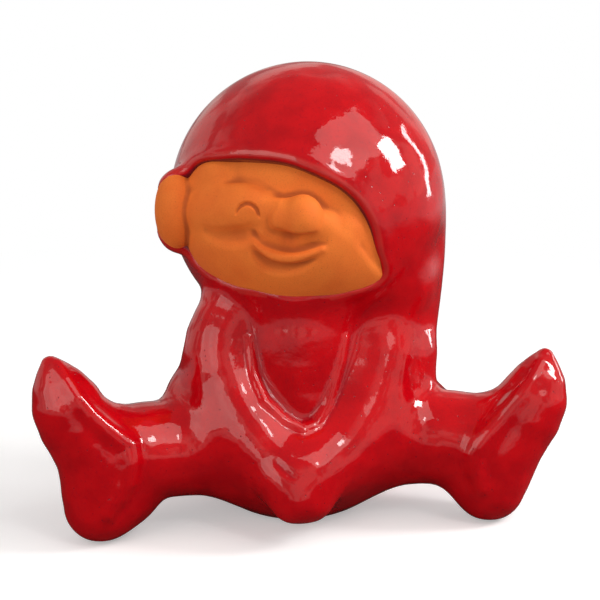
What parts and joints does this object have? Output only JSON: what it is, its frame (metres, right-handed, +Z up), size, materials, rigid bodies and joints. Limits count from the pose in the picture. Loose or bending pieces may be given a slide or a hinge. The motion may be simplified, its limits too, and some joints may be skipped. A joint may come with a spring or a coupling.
{
  "type": "ceramic gnome figurine",
  "caption": "Seated glazed ceramic gnome figurine with a bare clay face in a round hood, clasped mittens, splayed legs, upturned boots and a flat seat to rest on.",
  "frame": {"origin": "middle of the seat plate's resting face, on the surface the figure sits on", "axes": "+Z up, the figure faces -Y, +X to the right of someone looking at its face"},
  "size_m": [0.1384, 0.0809, 0.1177],
  "materials": {
    "red_glaze": "glossy transparent red glaze, mottled, with pinholes",
    "bare_clay": "unglazed terracotta with a soft sheen",
    "base_clay": "matt unglazed clay, wiped flat"
  },
  "bodies": {
    "root": {"head": "bare_clay", "hood": "red_glaze", "mittens": "red_glaze", "arm_left": "red_glaze", "arm_right": "red_glaze", "boot_left": "red_glaze", "boot_right": "red_glaze", "leg_left": "red_glaze", "leg_right": "red_glaze", "hood_tail": "red_glaze", "torso": "red_glaze", "seat_plate": "base_clay"}
  },
  "joints": []
}
